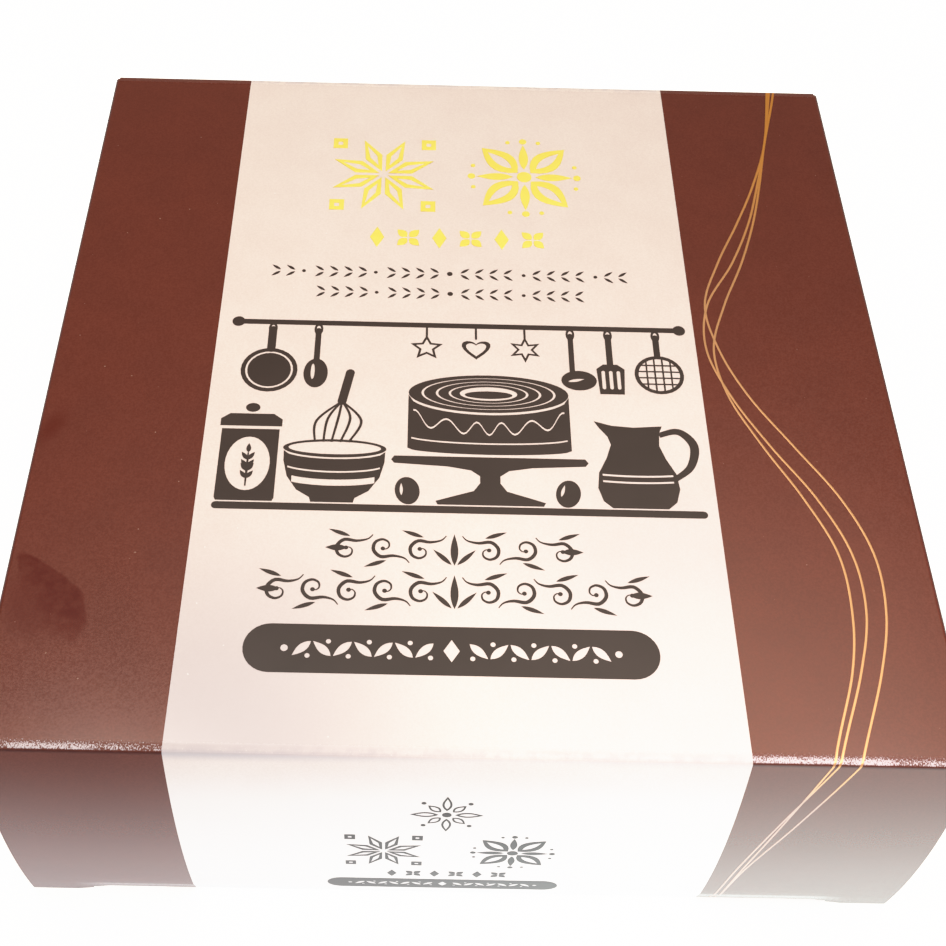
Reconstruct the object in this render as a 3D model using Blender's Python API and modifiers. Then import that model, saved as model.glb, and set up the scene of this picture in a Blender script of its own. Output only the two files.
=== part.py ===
"""A shut folding carton for a ring cake: a low, nearly square box of printed board.

Its top, sides and base are one sleeve. The front and the back are closed by panels that hang
from creases at the top's ends and tuck in over the base. Shut, they swell outwards a little,
so a slim gap shows at their sides between the panel and the side flaps behind it.
The box is shut and can't be seen into, so it is one solid, apart from those gaps.

Units are metres. The origin is the centre of the base, +Z is up and -Y is the front.
"""

import math

import bmesh
import bpy
from mathutils import Euler

MM = 0.001

# Driving sizes
WIDTH = 165 * MM  # along X
DEPTH = 170 * MM  # along Y, from the front crease to the back one
HEIGHT = 60 * MM
BOARD = 0.5 * MM  # thickness of the board
CREASE_RADIUS = 0.9 * MM  # outside of a folded crease
CREASE_GROOVE = 0.05 * MM  # a pressed crease lies this far under the top
CLOSURE_BOW = 2.2 * MM  # a closure swells by this at half its height
CLOSURE_INSET = 0.5 * MM  # a closure is this much narrower than the sleeve at each side
FLAP_CLEARANCE = 0.2 * MM  # between a closure's ends and the side flaps behind it
FLAP_FACE = DEPTH / 2 - BOARD - FLAP_CLEARANCE  # from the centre to the side flaps' outer face

# A closure's lower edge: a raw edge at each end, past the slit that locks it, and a fold between
FOOT_LENGTH = 11.5 * MM
FOOT_LIFT = 0.2 * MM
FOLD_RADIUS = 1.0 * MM
FOLD_PULL = 0.35 * MM  # the fold is drawn in behind the crease above it
FOLD_LIFT = 0.15 * MM
FOLD_START = 5.5 * MM  # height at which the panel starts to lean in to the fold
FOLD_STANDOFF = 0.25 * MM  # the cut starts this far in front of the panel

# The slim gap at a closure's side
GAP_DEPTH = 4.0 * MM
GAP_LEAST_BOW = 0.3 * MM  # the gap runs where the panel stands out by more than this
FLAP_SKIN = 0.1 * MM  # board left over the side flap behind the gap
FUSE = 0.3 * MM  # how far a closure reaches into the sleeve that it is fused to

BOW_STEPS = 22
ARC_STEPS = 6
CREASE_STEPS = 4
REACH = 2.0 * MM  # how far a cutter runs past what it cuts
MERGE = 0.000001
SHARP_ANGLE = 35

BROWN = (0.17, 0.05, 0.028, 1.0)
ROUGHNESS = 0.42
FRONT, BACK = 0.0, math.pi  # turn about Z


def clear_scene():
    for thing in list(bpy.data.objects):
        bpy.data.objects.remove(thing)


def new_collection(name):
    collection = bpy.data.collections.new(name)
    bpy.context.scene.collection.children.link(collection)
    return collection


def board_material():
    material = bpy.data.materials.new("laminated_board")
    material.use_nodes = True
    shader = material.node_tree.nodes["Principled BSDF"]
    shader.inputs["Base Color"].default_value = BROWN
    shader.inputs["Roughness"].default_value = ROUGHNESS
    shader.inputs["Metallic"].default_value = 0.0
    return material


def arc(centre, radius, start, end, steps=ARC_STEPS):
    """Points (y, z) of an arc, with its angles in degrees from +Y towards +Z."""
    angles = [math.radians(start + (end - start) * i / steps) for i in range(steps + 1)]
    return [(centre[0] + radius * math.cos(a), centre[1] + radius * math.sin(a)) for a in angles]


def bow(z):
    """How far the front closure stands out of the crease's plane at height z."""
    share = (z - HEIGHT / 2) / (HEIGHT / 2)
    return CLOSURE_BOW * (1 - share * share)


def face(z):
    """Y of the front closure's outer face at height z."""
    return -(DEPTH / 2 + bow(z))


def spread(start, end, steps):
    return [start + (end - start) * i / steps for i in range(steps + 1)]


def closure_outline():
    """Side view (y, z) of the front closure: crease at the top, swelling face, raw lower edge."""
    inside = -(FLAP_FACE - FUSE)
    top = HEIGHT - CREASE_GROOVE
    lean = math.degrees(math.atan(4 * CLOSURE_BOW / HEIGHT))
    centre_z = top - CREASE_RADIUS
    crease_end_z = centre_z + CREASE_RADIUS * math.sin(math.radians(lean))
    centre_y = face(crease_end_z) + CREASE_RADIUS * math.cos(math.radians(lean))
    crease = arc((centre_y, centre_z), CREASE_RADIUS, 90, 180 - lean)
    swelling = [(face(z), z) for z in spread(crease_end_z, FOOT_LIFT, BOW_STEPS)][1:]
    return [(inside, top)] + crease + swelling + [(inside, FOOT_LIFT)]


def fold_outline():
    """Side view of what is cut away under the closure's fold, between its two raw ends."""
    fold_y = -(DEPTH / 2 - FOLD_PULL)
    centre = (fold_y + FOLD_RADIUS, FOLD_LIFT + FOLD_RADIUS)
    fold = arc(centre, FOLD_RADIUS, 180, 270)
    outside = face(HEIGHT / 2) - REACH
    lean_start = (face(FOLD_START) - FOLD_STANDOFF, FOLD_START + FOLD_RADIUS)
    return (
        [(outside, lean_start[1]), lean_start, (face(FOLD_START), FOLD_START)]
        + fold
        + [(centre[0], -REACH), (outside, -REACH)]
    )


def gap_outline():
    """Side view of the slim gap between the swelling closure and the side flap."""
    half = HEIGHT / 2 * math.sqrt(1 - GAP_LEAST_BOW / CLOSURE_BOW)
    heights = spread(HEIGHT / 2 + half, HEIGHT / 2 - half, BOW_STEPS)
    flap = -(FLAP_FACE + FLAP_SKIN)
    inner_face = [(face(z) + BOARD, z) for z in heights]
    return [(flap, heights[0])] + inner_face + [(flap, heights[-1])]


def prism(name, outline, x_start, x_end, turn, collection):
    """A closed prism along X with a side view of (y, z) points, turned about Z."""
    curve = bpy.data.curves.new(name, "CURVE")
    curve.dimensions = "2D"
    curve.fill_mode = "BOTH"
    curve.extrude = abs(x_end - x_start) / 2
    spline = curve.splines.new("POLY")
    spline.points.add(len(outline) - 1)
    for point, (y, z) in zip(spline.points, outline):
        point.co = (y, z, 0, 1)
    spline.use_cyclic_u = True
    outline_object = bpy.data.objects.new(name, curve)
    collection.objects.link(outline_object)
    outline_object.rotation_euler = (math.pi / 2, 0, math.pi / 2)
    outline_object.location.x = (x_start + x_end) / 2
    bpy.context.view_layer.update()

    evaluated = outline_object.evaluated_get(bpy.context.evaluated_depsgraph_get())
    mesh = bpy.data.meshes.new_from_object(evaluated)
    placement = Euler((0, 0, turn)).to_matrix().to_4x4() @ outline_object.matrix_world
    bpy.data.objects.remove(outline_object)

    work = bmesh.new()
    work.from_mesh(mesh)
    bmesh.ops.remove_doubles(work, verts=work.verts, dist=MERGE)
    bmesh.ops.recalc_face_normals(work, faces=work.faces)
    work.to_mesh(mesh)
    work.free()
    solid = bpy.data.objects.new(name, mesh)
    solid.matrix_world = placement
    collection.objects.link(solid)
    return solid


def as_guide(thing):
    """Marks an object that only shapes another."""
    thing.hide_render = True
    thing.display_type = "WIRE"
    return thing


def add_sleeve(collection):
    """The sleeve's block: its creases along Y and its corners along Z are rounded."""
    bpy.ops.mesh.primitive_cube_add(size=1)
    sleeve = bpy.context.object
    sleeve.name = sleeve.data.name = "carton"
    for owner in list(sleeve.users_collection):
        owner.objects.unlink(sleeve)
    collection.objects.link(sleeve)
    for vertex in sleeve.data.vertices:
        vertex.co.x *= WIDTH
        vertex.co.y *= 2 * FLAP_FACE
        vertex.co.z = (vertex.co.z + 0.5) * HEIGHT

    weights = sleeve.data.attributes.new("bevel_weight_edge", "FLOAT", "EDGE")
    for edge in sleeve.data.edges:
        start, end = (sleeve.data.vertices[i].co for i in edge.vertices)
        across = abs(start.x - end.x) > MERGE
        weights.data[edge.index].value = 0.0 if across else 1.0
    rounding = sleeve.modifiers.new("creases", "BEVEL")
    rounding.limit_method = "WEIGHT"
    rounding.width = CREASE_RADIUS
    rounding.segments = CREASE_STEPS
    return sleeve


def boolean(target, guide, operation):
    step = target.modifiers.new(guide.name, "BOOLEAN")
    step.operation = operation
    step.solver = "EXACT"
    step.object = guide


def add_closures(sleeve, guides):
    """Fuses the front and back closures on, shapes their lower edges and opens their gaps."""
    half_width = WIDTH / 2 - CLOSURE_INSET
    fold_half = half_width - FOOT_LENGTH
    for side, turn in (("front", FRONT), ("back", BACK)):
        closure = prism(f"{side}_closure", closure_outline(), -half_width, half_width, turn, guides)
        fold = prism(f"{side}_fold_cut", fold_outline(), -fold_half, fold_half, turn, guides)
        boolean(sleeve, as_guide(closure), "UNION")
        boolean(sleeve, as_guide(fold), "DIFFERENCE")
        for end, sign in (("left", -1), ("right", 1)):
            inner = sign * (half_width - GAP_DEPTH)
            outer = sign * (half_width + REACH)
            gap = prism(f"{side}_gap_cut_{end}", gap_outline(), inner, outer, turn, guides)
            boolean(sleeve, as_guide(gap), "DIFFERENCE")


def main():
    clear_scene()
    parts = new_collection("cake_carton")
    guides = new_collection("guides")
    sleeve = add_sleeve(parts)
    add_closures(sleeve, guides)
    sleeve.data.materials.append(board_material())
    sleeve.data.shade_smooth()
    sleeve.data.set_sharp_from_angle(angle=math.radians(SHARP_ANGLE))


main()
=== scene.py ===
"""Looks of a shut folding carton for a ring cake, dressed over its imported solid.

The carton is one sheet of laminated board: a sleeve, and at the front and the back a swelling
panel that hangs from the top and tucks in over the base. Its print lies on the board as thin
shapes: dark ink, raised gold foil, and three gold lines that run down over the creases.

Lengths are in metres. The print is drawn flat in millimetres, x to the right and y to the back
from the middle of the top, as if the end panels were unfolded, and is then folded down.
"""

import math

import bmesh
import bpy
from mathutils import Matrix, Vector


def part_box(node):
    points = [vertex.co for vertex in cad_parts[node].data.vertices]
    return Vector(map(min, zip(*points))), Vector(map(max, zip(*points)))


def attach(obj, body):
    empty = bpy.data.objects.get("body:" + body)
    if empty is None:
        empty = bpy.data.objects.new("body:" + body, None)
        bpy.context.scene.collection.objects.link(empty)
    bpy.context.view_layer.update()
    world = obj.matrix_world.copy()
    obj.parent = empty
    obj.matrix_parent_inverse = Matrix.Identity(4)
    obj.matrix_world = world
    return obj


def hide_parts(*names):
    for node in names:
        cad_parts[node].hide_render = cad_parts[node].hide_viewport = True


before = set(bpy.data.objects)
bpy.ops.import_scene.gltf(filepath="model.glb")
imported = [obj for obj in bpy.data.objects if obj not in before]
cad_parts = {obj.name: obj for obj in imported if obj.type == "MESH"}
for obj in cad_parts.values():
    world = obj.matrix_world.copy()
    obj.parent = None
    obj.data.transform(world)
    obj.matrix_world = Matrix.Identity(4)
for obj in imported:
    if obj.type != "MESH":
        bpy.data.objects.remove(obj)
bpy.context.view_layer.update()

MM = 0.001
TINY = 0.01 * MM

# The carton, from its solid and the few sizes that the solid was made with
CARTON_LOW, CARTON_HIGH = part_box("carton")
WIDTH = CARTON_HIGH.x - CARTON_LOW.x
HEIGHT = CARTON_HIGH.z
END_BOW = 2.2 * MM  # an end panel swells by this at half its height
CREASE_LINE = CARTON_HIGH.y - END_BOW  # from the middle to the creases over the end panels
BOARD = 0.5 * MM
CREASE_RADIUS = 0.9 * MM
CREASE_GROOVE = 0.05 * MM
END_INSET = 0.5 * MM  # an end panel is this much narrower than the sleeve at each side
END_WIDENING = 2.0 * MM  # below a crease, the height over which the end panel widens to that
FLAP_GAP = 0.2 * MM
FLAP_FACE = CREASE_LINE - BOARD - FLAP_GAP  # outer face of the side flaps behind an end panel
SLEEVE_HALF = FLAP_FACE - CREASE_RADIUS  # from the middle to where the side flaps bend in
CREASE_STEPS = 6

# The lower edge of an end panel: raw feet at its sides and a fold between them
FOOT_WIDTH = 11.5 * MM
FOOT_EDGE = WIDTH / 2 - END_INSET - FOOT_WIDTH
FOOT_LIFT = 0.2 * MM
FOOT_BLEND = 3.0 * MM  # the panel leans from foot to fold over this width at each side
FOLD_RADIUS = 1.0 * MM
FOLD_LIFT = 0.15 * MM
FOLD_SET_BACK = 0.35 * MM
FOLD_LINE = CREASE_LINE - FOLD_SET_BACK
FOLD_START = 5.5 * MM
TUCK_HEIGHT = 0.62 * MM  # outer face of the tucked flap, just over the base
TUCK_LENGTH = 15.0 * MM
TUCK_SLOPE = 0.2 * MM  # how far inside the base's edge the tucked flap has risen to that height
BASE_SET_BACK = 2.4 * MM
BASE_EDGE = CREASE_LINE - BASE_SET_BACK

# The sleeve's seam along the lower left edge
SEAM_LIFT = 0.1 * MM
SEAM_GAP = 0.05 * MM
GLUE_FLAP = 14.0 * MM
FLAP_LENGTH = 25.0 * MM  # side flaps, as far as they are modelled

BAND = (-50.8 * MM, 45.4 * MM)  # left and right edge of the cream band
BAND_MIDDLE = sum(BAND) / 2

# Print thickness and how far its layers stand off the board
INK = 0.02 * MM
LAYER = 0.012 * MM
FOIL_RELIEF = 0.05 * MM


def bow(z):
    share = (z - HEIGHT / 2) / (HEIGHT / 2)
    return END_BOW * (1 - share * share)


def face_y(z):
    """Y of the front panel's outer face at height z."""
    return -(CREASE_LINE + bow(z))


def ease(share):
    share = min(max(share, 0.0), 1.0)
    return share * share * (3 - 2 * share)


def arc(centre, radius, start, end, steps):
    """Points of an arc, with its angles in degrees."""
    angles = [math.radians(start + (end - start) * i / steps) for i in range(steps + 1)]
    return [(centre[0] + radius * math.cos(a), centre[1] + radius * math.sin(a)) for a in angles]


CREASE_LEAD = 0.2 * MM  # the top's last flat strip before the crease
LEAN = math.degrees(math.atan(4 * END_BOW / HEIGHT))  # of the panel where it leaves the crease
CREASE_Z = HEIGHT - CREASE_GROOVE - CREASE_RADIUS
CREASE_END_Z = CREASE_Z + CREASE_RADIUS * math.sin(math.radians(LEAN))
CREASE_Y = face_y(CREASE_END_Z) + CREASE_RADIUS * math.cos(math.radians(LEAN))
CREASE_START = (CREASE_Y + CREASE_LEAD, HEIGHT)
FOLD_TOP = FOLD_LIFT + FOLD_RADIUS
PANEL_ROWS = 22
LEAN_ROWS = 4
SMOOTH_BOARD = math.radians(32)
SMOOTH_GOLD = math.radians(50)


def crease_path():
    """(y, z) from the top over the front crease, ending where the swelling panel starts."""
    return arc((CREASE_Y, CREASE_Z), CREASE_RADIUS, 90, 180 - LEAN, CREASE_STEPS)


def steps_between(start, end, count):
    """Count even steps from start to end, without start itself."""
    return [start + (end - start) * i / count for i in range(1, count + 1)]


def panel_path():
    """(y, z) down the swelling panel, to where its lower part starts to lean in."""
    return [(face_y(z), z) for z in steps_between(CREASE_END_Z, FOLD_START, PANEL_ROWS)]


def lean_in(z):
    """How far the fold has pulled the panel back from its swelling line at height z."""
    most = -FOLD_LINE - face_y(FOLD_TOP)
    return most * ease((FOLD_START - z) / (FOLD_START - FOLD_TOP))


def lean_path():
    """(y, z) down the leaning part of the panel, to its fold."""
    return [(face_y(z) + lean_in(z), z) for z in steps_between(FOLD_START, FOLD_TOP, LEAN_ROWS)]


def foot_share(x):
    """0 over the fold and 1 over the feet at both sides, where the panel doesn't lean in."""
    return ease((abs(x) - FOOT_EDGE + FOOT_BLEND) / (2 * FOOT_BLEND))


def fold_path():
    """(y, z) round the fold under the panel."""
    return arc((-FOLD_LINE + FOLD_RADIUS, FOLD_TOP), FOLD_RADIUS, 180, 270, CREASE_STEPS)[1:]


# The sheet's section from the middle of the top to under the front panel, for the print
SHEET = [(0.0, HEIGHT), CREASE_START] + crease_path() + panel_path() + lean_path() + fold_path()


# Modelling steps

def start_fresh():
    """Leaves edit mode and deselects everything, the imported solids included."""
    if bpy.context.object and bpy.context.object.mode != "OBJECT":
        bpy.ops.object.mode_set(mode="OBJECT")
    bpy.ops.object.select_all(action="DESELECT")


def select_only(thing):
    start_fresh()
    thing.select_set(True)
    bpy.context.view_layer.objects.active = thing


def pick_edges(thing, wanted, open_only=False):
    """In edit mode, selects the edges whose ends both satisfy wanted(point)."""
    bpy.ops.mesh.select_mode(type="EDGE")
    bpy.ops.mesh.select_all(action="DESELECT")
    work = bmesh.from_edit_mesh(thing.data)
    for edge in work.edges:
        if all(wanted(vertex.co) for vertex in edge.verts) and (edge.is_boundary or not open_only):
            edge.select_set(True)
    bmesh.update_edit_mesh(thing.data)


def pull(offset):
    """Extrudes what is selected by an offset; the new edges are then selected."""
    bpy.ops.mesh.extrude_region_move(TRANSFORM_OT_translate={"value": offset})


def pull_along(path):
    """Extrudes the selected edges from point to point of a (y, z) path."""
    for (y0, z0), (y1, z1) in zip(path, path[1:]):
        pull((0, y1 - y0, z1 - z0))


def cut_across(point, normal):
    """Cuts all of the mesh in edit mode along a plane, without parting it."""
    bpy.ops.mesh.select_all(action="SELECT")
    bpy.ops.mesh.bisect(plane_co=point, plane_no=normal, threshold=TINY / 10)


def near(value, target):
    return abs(value - target) < TINY


# The board

def fold_sleeve():
    """The front half of the sleeve as a bent sheet: side, top, side, base and glue flap."""
    start_fresh()
    middle = (-WIDTH / 2, -SLEEVE_HALF / 2, (HEIGHT + SEAM_LIFT) / 2)
    bpy.ops.mesh.primitive_plane_add(size=1, location=middle, rotation=(0, math.pi / 2, 0))
    board = bpy.context.object
    board.name = board.data.name = "printed_board"
    board.scale = (HEIGHT - SEAM_LIFT, SLEEVE_HALF, 1)
    bpy.ops.object.transform_apply(location=True, rotation=True, scale=True)

    seam_x = -WIDTH / 2 + BOARD + SEAM_GAP
    bpy.ops.object.mode_set(mode="EDIT")
    pick_edges(board, lambda p: near(p.z, HEIGHT))
    for offset in ((WIDTH, 0, 0), (0, 0, -HEIGHT), (seam_x - WIDTH / 2, 0, 0), (0, 0, GLUE_FLAP)):
        pull(offset)

    corners = ((-WIDTH / 2, HEIGHT), (WIDTH / 2, HEIGHT), (WIDTH / 2, 0), (seam_x, 0))
    pick_edges(board, lambda p: any(near(p.x, x) and near(p.z, z) for x, z in corners))
    bpy.ops.mesh.bevel(offset=CREASE_RADIUS, segments=CREASE_STEPS, affect="EDGES")

    blends = [side * (FOOT_EDGE + step) for side in (-1, 1) for step in (-FOOT_BLEND, 0, FOOT_BLEND)]
    for x in (*BAND, *blends):
        cut_across((x, 0, 0), (1, 0, 0))
    return board


def hang_end_panel(board):
    """Pulls the front panel out of the top's edge, over its crease and down to its fold and feet."""
    flat = WIDTH / 2 - CREASE_RADIUS + TINY
    pick_edges(board, lambda p: near(p.y, -SLEEVE_HALF) and p.z > HEIGHT - CREASE_RADIUS - TINY, True)
    pull((0, CREASE_START[0] + SLEEVE_HALF, 0))
    pick_edges(board, lambda p: near(p.y, CREASE_START[0]) and abs(p.x) < flat, True)
    pull_along([CREASE_START] + crease_path() + panel_path())
    pull_along([(face_y(z), z) for z in (FOLD_START, *(z for _, z in lean_path()))])

    work = bmesh.from_edit_mesh(board.data)
    for vertex in work.verts:
        point = vertex.co
        if point.y > CREASE_START[0] - TINY:
            continue
        if point.z < FOLD_START:
            point.y += lean_in(point.z) * (1 - foot_share(point.x))
        if abs(point.x) > flat - 2 * TINY:
            widened = (CREASE_RADIUS - END_INSET) * ease((HEIGHT - point.z) / END_WIDENING)
            point.x += math.copysign(widened, point.x)
    bmesh.update_edit_mesh(board.data)

    def lower(p):
        return near(p.z, FOLD_TOP) and p.y < -FOLD_LINE + TINY

    pick_edges(board, lambda p: lower(p) and abs(p.x) > FOOT_EDGE - TINY, True)
    pull((0, face_y(FOOT_LIFT) - face_y(FOLD_TOP), FOOT_LIFT - FOLD_TOP))
    pick_edges(board, lambda p: lower(p) and abs(p.x) < FOOT_EDGE + TINY, True)
    tuck = [(-BASE_EDGE + reach, TUCK_HEIGHT) for reach in (TUCK_SLOPE, TUCK_LENGTH)]
    pull_along([(-FOLD_LINE, FOLD_TOP)] + fold_path() + tuck)


def turn_side_flaps(board):
    """Folds the side flaps in behind the front panel, from the upright edges of the sides, and
    draws the base's edge in."""
    bend = arc((WIDTH / 2 - CREASE_RADIUS, SLEEVE_HALF), CREASE_RADIUS, 0, 90, CREASE_STEPS)
    for side in (-1, 1):
        pick_edges(board, lambda p: near(p.x, side * WIDTH / 2) and near(p.y, -SLEEVE_HALF), True)
        for (x0, y0), (x1, y1) in zip(bend, bend[1:]):
            pull((side * (x1 - x0), y0 - y1, 0))
        pull((-side * FLAP_LENGTH, 0, 0))

    bpy.ops.mesh.select_all(action="DESELECT")
    work = bmesh.from_edit_mesh(board.data)
    for vertex in work.verts:
        if near(vertex.co.y, -SLEEVE_HALF) and near(vertex.co.z, 0):
            vertex.co.y = -BASE_EDGE
    bmesh.update_edit_mesh(board.data)


def face_outwards(board):
    """Turns the faces of the open sheet outwards, by the one that is the top."""
    bpy.ops.mesh.select_all(action="SELECT")
    bpy.ops.mesh.normals_make_consistent(inside=False)
    work = bmesh.from_edit_mesh(board.data)
    highest = max(face.calc_center_median().z for face in work.faces)
    top = max((face for face in work.faces if near(face.calc_center_median().z, highest)),
              key=lambda face: face.calc_area())
    if top.normal.z < 0:
        bpy.ops.mesh.flip_normals()


def finish_board(board, brown, cream, bare):
    """Mirrors the front half to the back, gives the sheet its thickness and its printed fields."""
    bpy.ops.object.mode_set(mode="OBJECT")
    for material in (brown, cream, bare):
        board.data.materials.append(material)
    mirror = board.modifiers.new("back_half", "MIRROR")
    mirror.use_axis = (False, True, False)
    mirror.merge_threshold = TINY
    bpy.ops.object.modifier_apply(modifier=mirror.name)
    bpy.ops.object.mode_set(mode="EDIT")
    face_outwards(board)
    bpy.ops.object.mode_set(mode="OBJECT")
    for face in board.data.polygons:
        face.material_index = 1 if BAND[0] < face.center.x < BAND[1] else 0

    thickness = board.modifiers.new("thickness", "SOLIDIFY")
    thickness.thickness = BOARD
    thickness.offset = -1
    thickness.use_even_offset = True
    thickness.material_offset = 2
    thickness.material_offset_rim = 2
    bpy.ops.object.modifier_apply(modifier=thickness.name)
    bpy.ops.object.shade_smooth_by_angle(angle=SMOOTH_BOARD)
    weighting = board.modifiers.new("flat_panels", "WEIGHTED_NORMAL")
    weighting.keep_sharp = True
    bpy.ops.object.modifier_apply(modifier=weighting.name)


# Flat shapes of the print, in millimetres

def ellipse(x, y, rx, ry=None, steps=28):
    """An ellipse round (x, y), or a circle where only one radius is given."""
    ry = rx if ry is None else ry
    angles = [2 * math.pi * i / steps for i in range(steps)]
    return [(x + rx * math.cos(a), y + ry * math.sin(a)) for a in angles]


def placed(loop, x=0.0, y=0.0, turn=0.0, size=1.0, flip=1):
    """A loop turned, sized, mirrored where flip is -1, and moved."""
    c, s = math.cos(math.radians(turn)) * size, math.sin(math.radians(turn)) * size
    return [(x + flip * (u * c - v * s), y + u * s + v * c) for u, v in loop]


def placed_all(loops, **how):
    return [placed(loop, **how) for loop in loops]


def leaf(x, y, length, width, turn, steps=8):
    """A pointed leaf that starts at (x, y), fullest just before its middle."""
    shares = [i / steps for i in range(1, steps)]
    side = [(length * t, width / 2 * math.sin(math.pi * t**0.85)) for t in shares]
    outline = [(0.0, 0.0)] + side + [(length, 0.0)] + [(u, -v) for u, v in reversed(side)]
    return placed(outline, x, y, turn)


def spun(parts, count):
    """Copies of loops, each given with its own turn, set evenly round the middle."""
    return [placed(loop, turn=360 / count * i + turn) for i in range(count) for loop, turn in parts]


def lozenge(x, y, width, height):
    return [(x - width / 2, y), (x, y - height / 2), (x + width / 2, y), (x, y + height / 2)]


def bar(x0, y0, x1, y1, width, steps=8):
    """A straight bar with round ends."""
    turn = math.degrees(math.atan2(y1 - y0, x1 - x0))
    far = arc((x1, y1), width / 2, turn - 90, turn + 90, steps)
    return far + arc((x0, y0), width / 2, turn + 90, turn + 270, steps)


def mirrored(half):
    """A closed outline from its right half, listed from the bottom up."""
    return half + [(-x, y) for x, y in reversed(half) if abs(x) > 1e-6]


def through(points, steps=6):
    """A smooth curve through the points (Catmull-Rom)."""
    ends = [points[0]] + list(points) + [points[-1]]
    line = []
    for a, b, c, d in zip(ends, ends[1:], ends[2:], ends[3:]):
        for i in range(steps):
            t = i / steps
            line.append(tuple(
                0.5 * (2 * q + (r - p) * t + (2 * p - 5 * q + 4 * r - s) * t * t
                       + (3 * q - p - 3 * r + s) * t**3)
                for p, q, r, s in zip(a, b, c, d)
            ))
    return line + [tuple(points[-1])]


def brush(line, thick, thin, peak=0.5):
    """The outline of a stroke along a line, thick at the share peak of it and thin at its ends."""
    left, right = [], []
    for i, (x, y) in enumerate(line):
        before, after = line[max(i - 1, 0)], line[min(i + 1, len(line) - 1)]
        along = Vector((after[0] - before[0], after[1] - before[1])).normalized()
        share = i / (len(line) - 1)
        swell = share / peak if share < peak else (1 - share) / (1 - peak)
        half = (thin + (thick - thin) * ease(swell)) / 2
        left.append((x - along.y * half, y + along.x * half))
        right.append((x + along.y * half, y - along.x * half))
    return left + right[::-1]


def curl(x, y, radius, turns, start, hand):
    """A spiral line that winds in from radius to a small eye at (x, y), its hand 1 or -1."""
    line, steps = [], 26
    for i in range(steps + 1):
        t = i / steps
        r = radius * (1 - 0.82 * t**0.8)
        a = math.radians(start) + hand * t * turns * 2 * math.pi
        line.append((x + r * math.cos(a), y + r * math.sin(a)))
    return line


# Motifs of the print

def star_block():
    """A quilt block, 26 across: an eight-pointed star of lozenges with corner squares."""
    tip, gap, half_turn = 12.6 * 0.98, 0.5, math.radians(22.5)
    side = tip / (2 * math.cos(half_turn))
    along, spread = side * math.cos(half_turn), side * math.sin(half_turn) - gap
    kite = [(gap * 2.2, 0), (along, -spread), (tip, 0), (along, spread)]
    vein = [(tip * 0.26, 0), (side * 0.94, -0.85), (tip * 0.84, 0), (side * 0.94, 0.85)]
    squares = [[(a, a), (b, a), (b, b), (a, b)] for a, b in ((8.6, 11.9), (9.7, 10.8))]
    return spun([(kite, 22.5), (vein, 22.5)], 8) + spun([(square, 0) for square in squares], 4)


def leaf_block():
    """A leaf knot, 26 across: four broad leaves, four slim ones and a beaded rim."""
    parts = [(leaf(2.1, 0, 11.6, 6.4, 0), 45), (leaf(4.0, 0, 7.8, 2.4, 0), 45),
             (leaf(2.6, 0, 8.4, 2.2, 0), 0), (ellipse(12.2, 0, 0.9, steps=12), 0)]
    parts += [(ellipse(11.8, side * 3.6, 0.55, steps=10), 0) for side in (-1, 1)]
    return [ellipse(0, 0, 1.7)] + spun(parts, 4)


def bead_row(width, height):
    """Lozenges and four-leaf flowers in turn."""
    count = 6
    pitch = width / count
    flower = spun([(leaf(0.35, 0, height * 0.46, height * 0.3, 0), 45)], 4)
    loops = []
    for i in range(count):
        x = -width / 2 + pitch * (i + 0.5)
        loops += placed_all(flower, x=x) if i % 2 else [lozenge(x, 0, pitch * 0.46, height * 0.95)]
    return loops


def garland(width, height):
    """A fine twig with pairs of small leaves, broken by single dots."""
    pitch = height
    count = int(width / pitch / 2)
    loops = [ellipse(0, 0, height * 0.2, steps=12)]
    for side in (-1, 1):
        for i in range(count):
            x = pitch * (i + 0.75)
            if i % 5 == 4:
                loops.append(placed(ellipse(x + pitch * 0.4, 0, height * 0.14, steps=10), flip=side))
                continue
            for up in (-1, 1):
                sprig = leaf(x, up * height * 0.07, height * 0.78, height * 0.22, up * 36, 5)
                loops.append(placed(sprig, flip=side))
    return loops


def scroll_row(width, height, cells):
    """Scrolls that run out from a middle leaf, curling up and down in turn."""
    shapes = []
    pitch = width / 2 / (cells + 0.45)
    for side in (-1, 1):
        for i in range(cells):
            up = 1 if i % 2 else -1
            x = pitch * (i + 0.92)
            winding = curl(x, up * height * 0.07, height * 0.42, 1.25, -up * 165, up)
            lead = [(x - pitch * 0.7, -up * height * 0.42), (x - pitch * 0.56, -up * height * 0.28)]
            stroke = brush(through(lead + winding[2::3], 4), height * 0.1, 0.2, 0.3)
            spur = leaf(x - pitch * 0.08, -up * height * 0.36, height * 0.6, height * 0.12, -up * 20)
            shapes += [placed_all(loops, flip=side) for loops in
                       ([stroke], [ellipse(*winding[-1], height * 0.06, steps=12)], [spur])]
        end = leaf(width / 2 - height * 0.5, 0, height * 0.55, height * 0.19, 0)
        shapes.append([placed(end, flip=side)])
    shapes.append([leaf(0, -height * 0.48, height * 0.96, height * 0.2, 90)])
    for side in (-1, 1):
        shapes.append([leaf(side * 0.5, -height * 0.46, height * 0.66, height * 0.13, 90 - side * 46)])
    return shapes


def pill():
    """A dark bar with round ends, 71 by 9.4, with a vine left bare in it."""
    length, height = 71.4, 9.4
    loops = [bar(-(length - height) / 2, 0, (length - height) / 2, 0, height, 16)]
    loops.append(lozenge(0, 0, 2.8, 4.3))
    for side in (-1, 1):
        for i in range(7):
            x = 3.1 + 3.5 * i
            up = 1 if i % 2 else -1
            loops.append(placed(leaf(x, -up * 1.4, 4.2, 1.5, up * 42), flip=side))
            loops.append(placed(ellipse(x + 0.5, up * 1.4, 0.45, steps=10), flip=side))
        loops.append(placed(ellipse(28.6, 0, 0.65, steps=12), flip=side))
    return loops


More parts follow.
